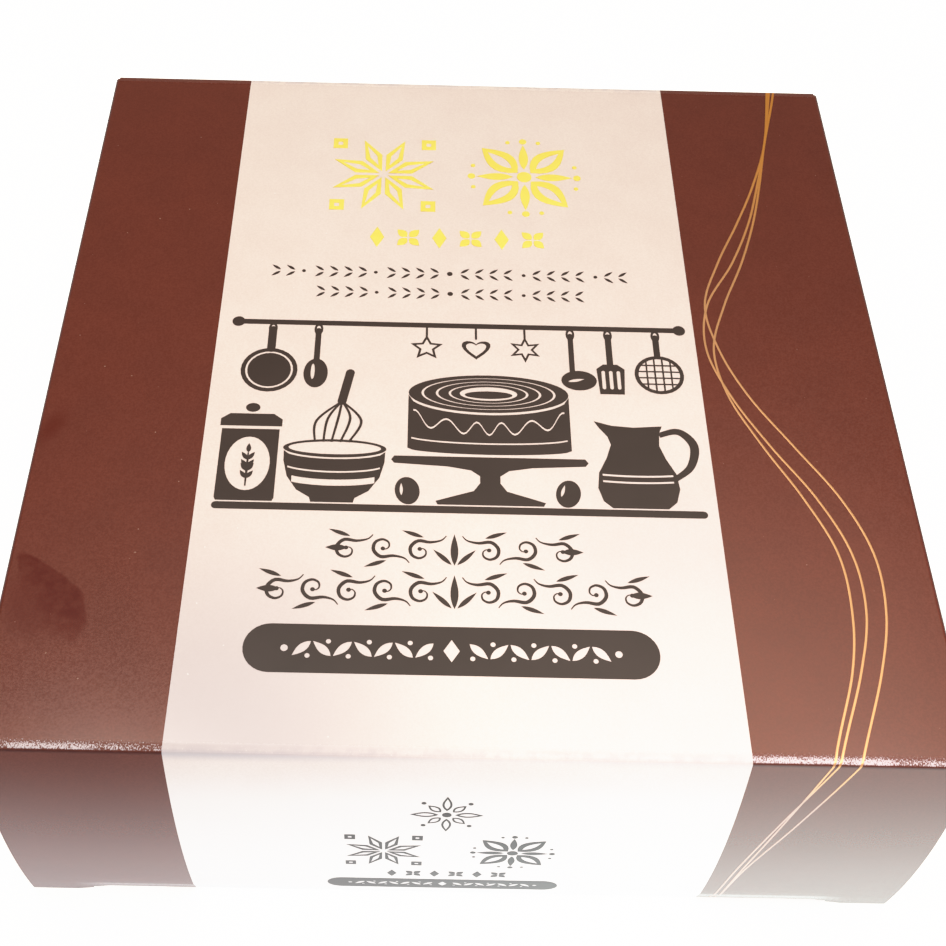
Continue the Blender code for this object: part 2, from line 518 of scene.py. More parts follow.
def petal_disc(radius):
    """Eight outlined petals round a small eye, four of them short and with a dot outside."""
    parts = []
    for length, turn in ((radius * 0.76, 90), (radius * 0.5, 135)):
        parts.append((leaf(radius * 0.22, 0, length, radius * 0.27, 0), turn))
        parts.append((leaf(radius * 0.22 + length * 0.14, 0, length * 0.7, radius * 0.15, 0), turn))
    parts.append((ellipse(radius * 0.88, 0, radius * 0.07, steps=10), 135))
    return [ellipse(0, 0, radius * 0.13, steps=14)] + spun(parts, 4)


def band_loop(low, high, x0, x1, steps=24):
    """A thin band between two curves y = low(x) and y = high(x)."""
    xs = [x0 + (x1 - x0) * i / steps for i in range(steps + 1)]
    return [(x, low(x)) for x in xs] + [(x, high(x)) for x in reversed(xs)]


def half_round(x, reach, drop):
    """Depth at x of the lower half of an ellipse that is 2 reach wide."""
    return drop * math.sqrt(max(0.0, 1 - (x / reach) ** 2))


def hoop(low, thick, reach, drop, across):
    """A stripe round a drum that is 2 reach wide, seen from a little above."""
    return band_loop(lambda x: low - half_round(x, reach, drop),
                     lambda x: low + thick - half_round(x, reach, drop), -across, across)


def wheat_ear(line, grains, length):
    """An ear of wheat along a line: a thin stalk with paired grains on its outer part."""
    shapes = [[brush(line, 0.5, 0.3)]]
    for i in range(grains):
        at = int((0.36 + 0.56 * i / (grains - 1)) * (len(line) - 2))
        x, y = line[at]
        along = math.degrees(math.atan2(line[at + 1][1] - y, line[at + 1][0] - x))
        shapes += [[leaf(x, y, length, length * 0.4, along + side * 34, 6)] for side in (-1, 1)]
    return shapes + [[leaf(*line[-1], length, length * 0.42, along, 6)]]


def ring_cake():
    """A ring cake with drips of glaze, on a footed stand, 37 wide and 31 high."""
    foot = [(0, 0), (9.8, 0), (10.2, 0.8), (7.0, 1.9), (3.1, 3.2), (1.9, 5.0), (1.9, 6.6), (3.6, 7.9),
            (8.0, 8.7), (18.0, 9.3), (18.6, 10.1), (18.0, 11.0), (0, 11.0)]
    rim_y, rx, ry = 26.4, 15.6, 4.7

    def drips(x, lower):
        wave = 0.5 + 0.5 * math.cos(x * 1.15 + 0.6 * math.sin(x * 0.37))
        return rim_y - 2.2 - 3.0 * wave - lower - half_round(x, rx, ry)

    body = band_loop(lambda x: 12.9 - half_round(x, rx, 1.3),
                     lambda x: rim_y - 0.55 - half_round(x, rx, ry), -rx, rx, 32)
    glaze = band_loop(lambda x: drips(x, 0.42), lambda x: drips(x, 0.0), -14.6, 14.6, 60)
    layer_line = hoop(15.6, 0.35, rx, 1.6, 14.9)
    shares = (1, 0.84, 0.81, 0.66, 0.63, 0.5, 0.47, 0.36)
    rings = [ellipse(0, rim_y, rx * share, ry * share, steps=48) for share in shares]
    hollow = ellipse(0, rim_y - 0.3, rx * 0.3, ry * 0.2, steps=24)
    return [[mirrored(foot)], [body, glaze, layer_line], rings, [hollow]]


def mixing_bowl():
    """A striped bowl, 21 wide, with a whisk standing in it."""
    reach, sag = 10.3, 2.0
    profile = [(0, 0), (4.2, 0), (4.5, 1.1), (7.2, 2.9), (9.3, 6.2), (10.2, 10.0), (10.3, 12.6)]
    rim = [(x, 12.6 - half_round(x, reach, sag)) for x in (9.2, 7.4, 5, 2.5, 0)]
    stripes = [hoop(9.2, 0.4, reach, sag, 9.3), hoop(6.0, 1.5, reach, sag, 8.3)]
    mouth = [ellipse(0, 13.3, 10.5, 2.3, steps=40), ellipse(0, 13.4, 9.4, 1.6, steps=40)]
    grip_x, grip_y = 0.9, 25.6
    shapes = [[mirrored(profile + rim)] + stripes, mouth, [bar(grip_x, grip_y, 2.3, 33.4, 1.9)]]
    for bulge in (-5.0, -2.7, -0.5, 1.9, 4.2):
        widest = (grip_x + bulge, 21.6 - 0.25 * abs(bulge))
        wire = through([(grip_x, grip_y), widest, (bulge * 0.75 - 0.4, 14.9)], 8)
        shapes.append([brush(wire, 0.55, 0.45)])
    return shapes


def jug():
    """A round-bellied jug with a lip and a handle, 20 wide and 22 high."""
    side = [(0, 0), (5.6, 0), (7.4, 1.7), (8.3, 4.9), (7.9, 8.7), (6.1, 12.5), (5.0, 15.9), (5.3, 19.2),
            (6.0, 21.0)]
    lip = [(0, 20.5), (-4.6, 20.9), (-8.2, 22.0), (-7.2, 20.2), (-5.6, 18.0)]
    other_side = [(-x, y) for x, y in reversed(side[1:-2])]
    bands = [band_loop(lambda x: y - 0.9 + 0.006 * x * x, lambda x: y - 0.45 + 0.006 * x * x, -7.2, 7.2)
             for y in (7.0, 8.6)]
    handle = through([(5.2, 18.6), (9.3, 19.6), (12.2, 16.0), (11.0, 10.6), (7.4, 7.3)])
    return [[side + lip + other_side] + bands, [brush(handle, 1.9, 1.3)]]


def canister():
    """A lidded canister, 12 wide and 23 high, with an ear of wheat on its bare round label."""
    body = [(-5.2, 0), (5.2, 0), (5.5, 0.7), (5.5, 16.6), (-5.5, 16.6), (-5.5, 0.7)]
    label = ellipse(0, 8.5, 4.2, 6.2, steps=32)
    lid = [(-5.9, 17.3), (5.9, 17.3), (5.9, 19.0), (4.2, 20.3), (-4.2, 20.3), (-5.9, 19.0)]
    sprig = wheat_ear([(0, 3.3 + 0.85 * i) for i in range(10)], 4, 2.2)
    return [[body, label], [lid], [ellipse(0, 21.8, 1.4, 1.1, steps=16)]] + sprig


def hung(x, shaft, thick):
    """A tool's shaft, hooked on the rail and ending at the height shaft."""
    hook = [ellipse(x, 44.3, 0.9, 1.6, steps=16), ellipse(x, 44.2, 0.45, 1.0)]
    return [bar(x, 44.0, x, shaft, thick)], hook


def hung_tools():
    """What hangs from the rail: a pan, spoon, cutters, ladle, turner and sieve."""
    rail_y, rail_end = 46.0, 44.6
    shapes = [[bar(-44.0, rail_y, 44.0, rail_y, 1.3)]]
    shapes += [[ellipse(side * rail_end, rail_y, 1.3)] for side in (-1, 1)]
    for x, shaft, thick in ((-37.5, 38.8, 1.7), (-28.3, 35.8, 1.2), (22.4, 34.0, 1.1),
                            (30.0, 36.0, 1.3), (39.6, 39.2, 1.3)):
        shapes += hung(x, shaft, thick)
    shapes.append([ellipse(-37.5, 33.4, radius) for radius in (5.6, 4.7, 4.3)])
    shapes.append([ellipse(-28.3, 32.8, 2.4, 3.7), ellipse(-28.9, 33.2, 0.4, 2.0, steps=12)])
    shapes.append([ellipse(23.6, 32.3, 3.5, 2.5), leaf(21.4, 32.0, 3.4, 0.7, 12)])
    blade = [(27.6, 29.0), (32.4, 29.0), (32.8, 35.4), (31.4, 36.6), (28.6, 36.6), (27.2, 35.4)]
    slots = [bar(30.0 + step, 30.6, 30.0 + step, 34.6, 0.7) for step in (-1.5, 0, 1.5)]
    shapes.append([blade] + slots)

    sieve_x, sieve_y, mesh_radius, wire = 39.6, 34.2, 4.3, 0.35
    shapes.append([ellipse(sieve_x, sieve_y, 4.9), ellipse(sieve_x, sieve_y, 4.1)])
    for step in (-2.4, -0.8, 0.8, 2.4):
        half = math.sqrt(mesh_radius**2 - step**2)
        x, y = sieve_x + step, sieve_y + step
        shapes.append([bar(x, sieve_y - half, x, sieve_y + half, wire, 2)])
        shapes.append([bar(sieve_x - half, y, sieve_x + half, y, wire, 2)])

    cutters = []
    for x, points in ((-6.5, 5), (13.2, 6)):
        star = [placed([((3.41, 1.61)[i % 2], 0)], turn=90 + 180 / points * i)[0]
                for i in range(2 * points)]
        cutters.append((star, x, 0.66))
    angles = [2 * math.pi * i / 30 for i in range(30)]
    heart = [(2.9 * math.sin(a) ** 3, 2.35 * math.cos(a) - 0.9 * math.cos(2 * a) - 0.35 * math.cos(3 * a))
             for a in angles]
    cutters.append((heart, 3.4, 0.7))
    for outline, x, inner in cutters:
        shapes.append([placed(outline, x, 40.0), placed(outline, x, 40.0, size=inner)])
    return shapes + [[bar(x, 45.4, x, 42.6, 0.45)] for x in (-6.5, 3.4, 13.2)]


def baking_shelf():
    """The picture on the top, 91 by 48: a shelf with a canister, a bowl, a ring cake and a jug, and
    tools hung from a rail over it. The shelf's foot is y = 0."""
    shapes = [[bar(-44.8, 0.9, 44.8, 0.9, 1.6)]]
    standing = 2.0
    for things, x, size in ((canister(), -39.8, 1), (mixing_bowl(), -23.6, 0.93),
                            (ring_cake(), 5.7, 1), (jug(), 33.4, 0.92)):
        shapes += [placed_all(loops, x=x, y=standing, size=size) for loops in things]
    for x, tilt in ((-9.3, 8), (19.6, -10)):
        egg_and_shine = [ellipse(0, 3.1, 2.3, 3.1), leaf(-1.2, 2.2, 2.8, 0.6, 84)]
        shapes.append(placed_all(egg_and_shine, x=x, y=standing - 0.1, turn=tilt))
    return shapes + hung_tools()


def in_layers(shapes):
    """Sorts shapes, each an outline with its holes, into layers in which none crosses another."""
    layers = []
    for shape in shapes:
        xs, ys = zip(*shape[0])
        place = (min(xs), max(xs), min(ys), max(ys))
        for layer in layers:
            if all(apart(place, taken) for taken, _ in layer):
                layer.append((place, shape))
                break
        else:
            layers.append([(place, shape)])
    return [[loop for _, shape in layer for loop in shape] for layer in layers]


def apart(first, second):
    """Whether two boxes (left, right, low, high) don't meet."""
    beside = first[1] < second[0] or second[1] < first[0]
    return beside or first[3] < second[2] or second[3] < first[2]


# Laying the print on the board

def add_line(curve, line, closed=False):
    """Adds a line of points in millimetres to a curve."""
    spline = curve.splines.new("POLY")
    spline.points.add(len(line) - 1)
    for point, (x, y) in zip(spline.points, line):
        point.co = (x * MM, y * MM, 0, 1)
    spline.use_cyclic_u = closed
    return spline


def as_mesh(name, curve):
    """The curve as a mesh object, which is then the only one selected."""
    thing = bpy.data.objects.new(name, curve)
    bpy.context.scene.collection.objects.link(thing)
    select_only(thing)
    bpy.ops.object.convert(target="MESH")
    return bpy.context.object


def cut_out(name, loops, lift, relief=0.0):
    """A thin slab from closed loops, where a loop inside another is a hole. With relief its edge is
    rounded and it stands higher."""
    curve = bpy.data.curves.new(name, "CURVE")
    curve.dimensions = "2D"
    curve.fill_mode = "BOTH"
    curve.extrude = INK / 2
    curve.bevel_depth = relief
    curve.bevel_resolution = 1
    curve.offset = -relief
    for loop in loops:
        add_line(curve, loop, closed=True)
    slab = as_mesh(name, curve)
    for vertex in slab.data.vertices:
        vertex.co.z += lift + INK / 2 + relief
    return slab


def joined(name, pieces, material):
    """One object of all the pieces, with one material and its faces turned outwards."""
    start_fresh()
    for piece in pieces:
        piece.select_set(True)
    bpy.context.view_layer.objects.active = pieces[0]
    bpy.ops.object.join()
    whole = bpy.context.object
    whole.name = whole.data.name = name
    bpy.ops.object.mode_set(mode="EDIT")
    bpy.ops.mesh.select_all(action="SELECT")
    bpy.ops.mesh.remove_doubles(threshold=TINY / 20)
    bpy.ops.mesh.normals_make_consistent(inside=False)
    bpy.ops.object.mode_set(mode="OBJECT")
    whole.data.materials.clear()
    whole.data.materials.append(material)
    return whole


def sheet_rows():
    """Distance from the middle of the top to each corner of the sheet's section."""
    rows = [0.0]
    for (y0, z0), (y1, z1) in zip(SHEET, SHEET[1:]):
        rows.append(rows[-1] + math.hypot(y1 - y0, z1 - z0))
    return rows


ROWS = sheet_rows()


def out_of_sheet():
    """Outward direction (y, z) at each corner of the section, the mean of its two stretches."""
    stretches = []
    for (y0, z0), (y1, z1) in zip(SHEET, SHEET[1:]):
        length = math.hypot(y1 - y0, z1 - z0)
        stretches.append(Vector(((z1 - z0) / length, (y0 - y1) / length)))
    outward = [stretches[0]]
    outward += [(a + b).normalized() for a, b in zip(stretches, stretches[1:])]
    return outward + [stretches[-1]]


OUTWARD = out_of_sheet()


def fold_down(slab):
    """Cuts a flat piece at the section's corners and folds it over the top and both ends."""
    ys = [vertex.co.y for vertex in slab.data.vertices]
    select_only(slab)
    bpy.ops.object.mode_set(mode="EDIT")
    for row in ROWS[1:-1]:
        for y in (-row, row):
            if min(ys) < y < max(ys):
                cut_across((0, y, 0), (0, 1, 0))
    bpy.ops.object.mode_set(mode="OBJECT")
    for vertex in slab.data.vertices:
        x, y, lift = vertex.co
        far = min(abs(y), ROWS[-1])
        at = max(i for i, row in enumerate(ROWS[:-1]) if row <= far)
        share = (far - ROWS[at]) / (ROWS[at + 1] - ROWS[at])
        out = OUTWARD[at].lerp(OUTWARD[at + 1], share)
        folded_y, folded_z = (
            start + (end - start) * share + outwards * lift
            for start, end, outwards in zip(SHEET[at], SHEET[at + 1], out)
        )
        if folded_z < FOLD_START:
            folded_y += (face_y(folded_z) - lift - folded_y) * foot_share(x)
        vertex.co = (x, folded_y if y < 0 else -folded_y, folded_z)
    return slab


CREASE_ROW = ROWS[2 + CREASE_STEPS // 2] / MM  # middle of the crease, from the middle of the top


def on_front(loops, x, below, size=1.0):
    """Places loops on the front panel, a distance below its crease."""
    return placed_all(loops, x=x, y=-(CREASE_ROW + below), size=size)


def on_both_ends(loops):
    """Adds the same loops turned half round, for the panel at the back."""
    middle = 2 * BAND_MIDDLE / MM
    return loops + [[(middle - x, -y) for x, y in loop] for loop in loops]


def print_ink(material):
    shapes = [placed_all(loops, x=-2.2, y=-37.3) for loops in baking_shelf()]
    for width, height, cells, y in ((45.7, 7.0, 3, -45.1), (69.0, 7.2, 5, -53.9)):
        shapes += [placed_all(loops, x=-3.2, y=y) for loops in scroll_row(width, height, cells)]
    layers = in_layers(shapes)
    layers[0] += placed_all(garland(75.0, 3.0), x=-4.1, y=23.2)
    layers[0] += placed_all(garland(53.4, 2.95), x=-4.0, y=17.5)
    layers[0] += placed_all(pill(), x=-3.7, y=-65.6)

    ends = on_front(petal_disc(6.4), -3.9, 18.2)
    ends += on_front(star_block(), -14.7, 33.4, 0.58)
    ends += on_front(leaf_block(), 8.3, 33.4, 0.58)
    ends += on_front(bead_row(39.9, 6.4), -3.4, 44.8, 0.59)
    ends += on_front(pill(), -3.7, 51.0, 0.604)
    layers[0] += on_both_ends(ends)

    slabs = [cut_out(f"ink_{i}", loops, LAYER * (i + 1)) for i, loops in enumerate(layers)]
    return fold_down(joined("ink_print", slabs, material))


def print_foil(material):
    loops = placed_all(star_block(), x=-18.8, y=53.2, size=0.97)
    loops += placed_all(leaf_block(), x=12.4, y=53.3, size=0.96)
    loops += placed_all(bead_row(39.9, 6.4), x=-3.0, y=33.6)
    return fold_down(joined("foil_print", [cut_out("foil", loops, LAYER, FOIL_RELIEF)], material))


# The gold lines wave over the flat sheet, from the back panel to the front one. Their points lie in
# these rows, and each line says how far to the right. Towards the back of the top they are wider.
GOLD_WIDTH = 0.42
GOLD_WIDER = 0.25
GOLD_ON_ENDS = 0.8
GOLD_FLATTENED = 0.12
GOLD_ROWS = (
    144.5, 108, 84, 66, 52, 40, 28, 16, 4, -8, -20, -32, -44, -56, -68, -84, -104, -124, -144.5,
)
GOLD_LINES = {
    "gold_line_a": (
        76.5, 73.5, 70.5, 67.5, 63, 58, 52.5, 48.5, 50, 54.5, 61.5, 68.5, 72.5, 72.5, 69.5, 63.5, 56.5,
        51, 49,
    ),
    "gold_line_b": (
        78.5, 75, 71, 67.5, 64, 60.5, 55.5, 49, 47.5, 51, 57, 64, 68.5, 69, 66, 60, 53.5, 49.5, 48,
    ),
    "gold_line_c": (
        81.5, 77, 72, 67.5, 64.5, 61.5, 57.5, 52.5, 49, 50.5, 55.5, 61.5, 66, 66.5, 64.5, 59, 54, 50.5,
        49,
    ),
}


def print_gold_lines(material):
    """Each line is a low rounded bead of gold, half of a flattened tube."""
    beads = []
    for order, (name, sideways) in enumerate(GOLD_LINES.items()):
        curve = bpy.data.curves.new(name, "CURVE")
        curve.dimensions = "3D"
        curve.bevel_depth = GOLD_WIDTH / 2 * MM
        curve.bevel_resolution = 1
        curve.use_fill_caps = True
        line = through(list(zip(sideways, GOLD_ROWS)), 10)
        for point, (_, y) in zip(add_line(curve, line).points, line):
            point.radius = GOLD_ON_ENDS if abs(y) > CREASE_ROW else 1 + GOLD_WIDER * ease(y / 80)
        bead = as_mesh(name, curve)
        bpy.ops.object.mode_set(mode="EDIT")
        bpy.ops.mesh.select_all(action="SELECT")
        bpy.ops.mesh.bisect(plane_co=(0, 0, 0), plane_no=(0, 0, 1), clear_inner=True, use_fill=True)
        bpy.ops.object.mode_set(mode="OBJECT")
        for vertex in bead.data.vertices:
            vertex.co.z = vertex.co.z * GOLD_FLATTENED + LAYER * (0.6 + 0.3 * order)
        beads.append(bead)
    lines = fold_down(joined("gold_lines", beads, material))
    select_only(lines)
    bpy.ops.object.shade_smooth_by_angle(angle=SMOOTH_GOLD)
    return lines


# Materials

# Each printed field is mottled between two near shades. Colours are in linear light.
BROWN = ((0.115, 0.026, 0.0151, 1), (0.107, 0.0243, 0.0143, 1))
# Crease flecks: partly bare board and partly painted glints, in a bluish white
BROWN_FLECK_AND_GLINT = (0.52, 0.475, 0.535, 1)
# Painted shade in the line under the creases
BROWN_CREASE_SHADE = (0.05, 0.009, 0.007, 1)
BROWN_MARKS = (("Smudge", 1.0, (0.078, 0.0105, 0.0055, 1)), ("Dust", 0.5, (0.36, 0.22, 0.17, 1)))
CREAM = ((0.745, 0.645, 0.635, 1), (0.72, 0.62, 0.61, 1))
# On the cream too, crease flecks that are partly painted glints
CREAM_FLECK_AND_GLINT = (0.8, 0.76, 0.75, 1)
# Painted shade along the cream's creases
CREAM_CREASE_SHADE = (0.42, 0.4, 0.455, 1)
# Cream marks: Soil is painted shade towards the front, Clean a painted sheen on the end panels
CREAM_MARKS = (
    ("FrontShade", 0.95, (0.478, 0.448, 0.495, 1)), ("EndSheen", 0.9, (0.79, 0.74, 0.76, 1)),
    ("Dust", 0.4, (0.95, 0.95, 0.95, 1)),
)
RAW_BOARD = ((0.6, 0.56, 0.5, 1), (0.5, 0.46, 0.41, 1))
INK_BLACK = ((0.037, 0.022, 0.017, 1), (0.041, 0.025, 0.02, 1))
FOIL_YELLOW = ((1.0, 0.84, 0.16, 1), (0.97, 0.79, 0.13, 1))
# Painted light in the gold ink: paler at the front, orange at the back, painted shade low in front
GOLD_LIT_FRONT = (0.67, 0.35, 0.165, 1)
GOLD_BACK = (0.74, 0.3, 0.055, 1)
GOLD_SHADED_LOWER = (0.46, 0.3, 0.26, 1)
GOLD_DULL = (0.3, 0.14, 0.05, 1)
FILM_ROUGHNESS = (0.17, 0.26)  # of the lamination, from the low to the high spots of its grain
SMUDGE_ROUGHNESS = 0.1
BEND_ROUGHNESS = 0.6


def add(tree, kind, links=None, **settings):
    """Adds a node, sets its properties, and links or sets its inputs."""
    made = tree.nodes.new(kind)
    for name, value in settings.items():
        setattr(made, name, value)
    for socket, value in (links or {}).items():
        if isinstance(value, bpy.types.NodeSocket):
            tree.links.new(value, made.inputs[socket])
        else:
            made.inputs[socket].default_value = value
    return made


def math_node(tree, operation, a, b=None, clamp=False):
    links = {0: a} if b is None else {0: a, 1: b}
    return add(tree, "ShaderNodeMath", links, operation=operation, use_clamp=clamp).outputs[0]


def product(tree, first, *others):
    for other in others:
        first = math_node(tree, "MULTIPLY", first, other)
    return first


def vector_math(tree, operation, *values, output=0):
    links = dict(enumerate(values))
    return add(tree, "ShaderNodeVectorMath", links, operation=operation).outputs[output]


def local_place(tree):
    return add(tree, "ShaderNodeTexCoord").outputs["Object"]


def axes_of(tree, place):
    return add(tree, "ShaderNodeSeparateXYZ", {0: place}).outputs


def ramp(tree, value, low, high, to_low=0.0, to_high=1.0, shape="SMOOTHSTEP"):
    links = {"Value": value, "From Min": low, "From Max": high, "To Min": to_low, "To Max": to_high}
    return add(tree, "ShaderNodeMapRange", links, interpolation_type=shape).outputs["Result"]


def noise(tree, place, size, detail=2.0):
    """Noise whose features are about size metres across."""
    links = {"Vector": place, "Scale": 1 / size, "Detail": detail}
    return add(tree, "ShaderNodeTexNoise", links).outputs["Fac"]


def mixed(tree, share, first, second, blend="MIX"):
    links = {0: share, 6: first, 7: second}
    return add(tree, "ShaderNodeMix", links, data_type="RGBA", blend_type=blend).outputs[2]


def new_group(name, inputs, outputs):
    """A node group with its inputs, and a function that puts a value out of it."""
    group = bpy.data.node_groups.new(name, "ShaderNodeTree")
    for label, value in inputs.items():
        socket = group.interface.new_socket(label, in_out="INPUT", socket_type="NodeSocketFloat")
        socket.default_value = value
    for label in outputs:
        group.interface.new_socket(label, in_out="OUTPUT", socket_type="NodeSocketFloat")
    start = group.nodes.new("NodeGroupInput")
    end = group.nodes.new("NodeGroupOutput")

    def put_out(label, value):
        group.links.new(value, end.inputs[label])

    return group, start.outputs, put_out


def board_grain():
    """Fine relief of laminated board in millimetres, and the slight mottling of its print."""
    inputs = {"Grain": 0.003, "Wave": 0.04}
    group, given, put_out = new_group("board_grain", inputs, ("Height", "Mottle", "Fine"))
    place = local_place(group)
    fine = noise(group, place, 0.35 * MM, 3.0)
    wide = noise(group, place, 48 * MM, 1.0)
    grain = product(group, fine, given["Grain"])
    put_out("Height", math_node(group, "ADD", grain, product(group, wide, given["Wave"])))
    put_out("Fine", fine)
    put_out("Mottle", ramp(group, noise(group, place, 9 * MM, 8.0), 0.3, 0.7))
    return group


def crease_wear_and_shade():
    """The creases over the end panels: flecks at the front one (Crack), partly bare board where the
    print broke and partly painted glints; a painted shade line under both creases and painted shade
    along the top's side edges (Line); the bend itself; and the patches in which the painted shade
    along a crease is stronger or weaker (Patch).

    Across a crease, distance is counted over the bend and down, from where the bend starts."""
    outputs = ("FleckGlint", "Line", "Bend", "Patch")
    group, given, put_out = new_group("crease_wear_and_shade", {"Amount": 0.5}, outputs)
    place = local_place(group)
    axes = axes_of(group, place)
    at_front = math_node(group, "LESS_THAN", axes["Y"], 0.0)
    endwards = math_node(group, "ABSOLUTE", axes["Y"])
    at_end = math_node(group, "GREATER_THAN", endwards, CREASE_LINE - 2.5 * MM)
    over = math_node(group, "ADD", endwards, CREASE_Y)
    down = math_node(group, "SUBTRACT", HEIGHT, axes["Z"])
    along_bend = math_node(group, "ADD", over, down)

    def strip(above, below):
        """1 between two edges, each given with the distances where it starts and ends."""
        start = ramp(group, along_bend, *(distance * MM for distance in above))
        end = ramp(group, along_bend, *(distance * MM for distance in below), 1.0, 0.0)
        return product(group, start, end, at_end)

    bend = strip((-1.35, 0.25), (0.68, 1.08))
    put_out("Bend", bend)

    # The flecks, bare board with painted glints, are densest at the bend, more so on the right, and
    # sparsest at its left end
    crumbs = noise(group, vector_math(group, "MULTIPLY", place, (1, 0.6, 0.6)), 0.18 * MM)
    uneven = ramp(group, noise(group, place, 7 * MM), 0.35, 0.65, 0.8, 1.15)
    outer = ramp(group, axes["X"], -78.5 * MM, -73.5 * MM, 0.6, 1.15)
    left = ramp(group, axes["X"], -70 * MM, -55 * MM, outer, 0.82)
    right = ramp(group, axes["X"], 60 * MM, 80 * MM, 1.3, 0.9)
    side = ramp(group, axes["X"], -1 * MM, 1 * MM, left, right)
    share = product(group, uneven, side, given["Amount"])
    loss = product(group, bend, share, at_front)
    limit = math_node(group, "SUBTRACT", 0.72, product(group, loss, 0.25))
    broken = ramp(group, math_node(group, "SUBTRACT", crumbs, limit), -0.06, 0.1)
    put_out("FleckGlint", product(group, broken, math_node(group, "GREATER_THAN", bend, 0.02)))

    # Painted shade: a dark line under each crease, and the top's side edges darkened
    crease_shade = strip((0.9, 1.2), (1.5, 2.2))
    outwards = math_node(group, "ABSOLUTE", axes["X"])
    side_edge = ramp(group, outwards, WIDTH / 2 - 0.8 * MM, WIDTH / 2 - 0.4 * MM, 0.0, 0.7)
    on_top = math_node(group, "GREATER_THAN", axes["Z"], HEIGHT - 1.5 * MM)
    put_out("Line", math_node(group, "MAXIMUM", crease_shade, product(group, side_edge, on_top)))
    put_out("Patch", ramp(group, noise(group, place, 1.8 * MM, 4.0), 0.36, 0.64))
    return group


# Marks on the top: centre and reach in millimetres, and turn in degrees
THUMB_SMUDGE = ((-74.3, -56.4), (11.4, 5.7), -55)
THUMB_HALO = ((-76.5, -58.5), (10.0, 7.0), -55)
FINGER_MARK = ((-79.8, -19.2), (6.6, 3.4), 66)
LEFT_SHADE_PATCH = ((-47.0, -90.0), (62.0, 66.0), 0)
RIGHT_SHADE_PATCH = ((40.0, -64.0), (48.0, 52.0), 0)


def mark(tree, place, centre, reach, turn):
    """Coordinates round a mark, in which its oval rim is one away from its centre."""
    mapping = add(tree, "ShaderNodeMapping", {"Vector": place}, vector_type="TEXTURE")
    mapping.inputs["Location"].default_value = (centre[0] * MM, centre[1] * MM, HEIGHT)
    mapping.inputs["Rotation"].default_value = (0, 0, math.radians(turn))
    mapping.inputs["Scale"].default_value = (reach[0] * MM, reach[1] * MM, 3 * MM)
    return mapping.outputs[0]


def from_middle(tree, place):
    return vector_math(tree, "LENGTH", place, output="Value")


def handling_and_painted_light():
    """Marks on the top: greasy smudges at the left edge and specks of dust. Painted light as well:
    painted shade towards the front crease (Soil), and a painted sheen on the end panels from a little
    below the creases (Clean)."""
    outputs = ("Smudge", "FrontShade", "Dust", "EndSheen")
    group, given, put_out = new_group("handling_and_painted_light", {"Speck": 0.15}, outputs)
    place = local_place(group)
    cloud = {"Vector": place, "Scale": 1 / (4 * MM), "Detail": 4.0}
    wobble = add(group, "ShaderNodeTexNoise", cloud).outputs["Color"]
    shake = vector_math(group, "SUBTRACT", wobble, (0.5, 0.5, 0.5))
    bent = vector_math(group, "MULTIPLY_ADD", shake, (1.8 * MM,) * 3, place)

    # The thumb's smudge is pointed at the box's edge, sharp on one side and faded on the other
    across = axes_of(group, mark(group, bent, *THUMB_SMUDGE))
    wide = ramp(group, across["X"], -1.0, 0.4, 0.45, 1.05)
    narrowed = {"X": across["X"], "Y": math_node(group, "DIVIDE", across["Y"], wide), "Z": across["Z"]}
    wedge = add(group, "ShaderNodeCombineXYZ", narrowed).outputs[0]
    inside = ramp(group, from_middle(group, wedge), 0.86, 1.02, 1.0, 0.0)
    faded = ramp(group, across["Y"], -0.95, 0.5, 0.2, 1.0)
    tip = ramp(group, across["X"], 0.3, 0.95, 1.0, 0.45)
    streaks = ramp(group, noise(group, place, 1.6 * MM, 5.0), 0.32, 0.68, 0.55, 1.1)
    thumb = product(group, inside, product(group, faded, tip, streaks))
    halo = ramp(group, from_middle(group, mark(group, bent, *THUMB_HALO)), 0.3, 1.0, 0.35, 0.0)
    finger = ramp(group, from_middle(group, mark(group, bent, *FINGER_MARK)), 0.0, 1.0, 0.55, 0.0)
    faint = math_node(group, "MAXIMUM", halo, finger)
    put_out("Smudge", math_node(group, "MAXIMUM", thumb, faint, clamp=True))

    # Painted shade towards the front: plain to see at the left and only just there at the right
    left_shade = ramp(group, from_middle(group, mark(group, place, *LEFT_SHADE_PATCH)), 0.1, 1.0, 1.0, 0.0)
    right_shade = ramp(group, from_middle(group, mark(group, place, *RIGHT_SHADE_PATCH)), 0.3, 1.0, 0.42, 0.0)
    put_out("FrontShade", math_node(group, "MAXIMUM", left_shade, right_shade))

    # Painted sheen on the end panels, lighter and bluer from a little below the creases down
    axes = axes_of(group, place)
    endwards = math_node(group, "ABSOLUTE", axes["Y"])
    on_end = math_node(group, "GREATER_THAN", endwards, CREASE_LINE - 5 * MM)
    put_out("EndSheen", product(group, on_end, ramp(group, axes["Z"], HEIGHT - 2 * MM, HEIGHT - 16 * MM)))

    cells = {"Vector": bent, "Scale": 1 / (6 * MM), "Randomness": 1.0}
    spots = add(group, "ShaderNodeTexVoronoi", cells, voronoi_dimensions="2D").outputs
    tint = add(group, "ShaderNodeSeparateColor", {0: spots["Color"]}).outputs
    fewer = ramp(group, axes["X"], -50 * MM, 40 * MM, 1.0, 0.6)
    size = ramp(group, tint["Red"], 0.7, 1.0, 0.0, product(group, given["Speck"], fewer))
    away = math_node(group, "SUBTRACT", size, product(group, spots["Distance"], 6.0))
    on_top = math_node(group, "GREATER_THAN", axes["Z"], HEIGHT - 0.2 * MM)
    put_out("Dust", product(group, ramp(group, away, -0.03, 0.05), on_top))
    return group


def place_group(tree, group, **values):
    node = add(tree, "ShaderNodeGroup", node_tree=group)
    for name, value in values.items():
        node.inputs[name].default_value = value
    return node.outputs


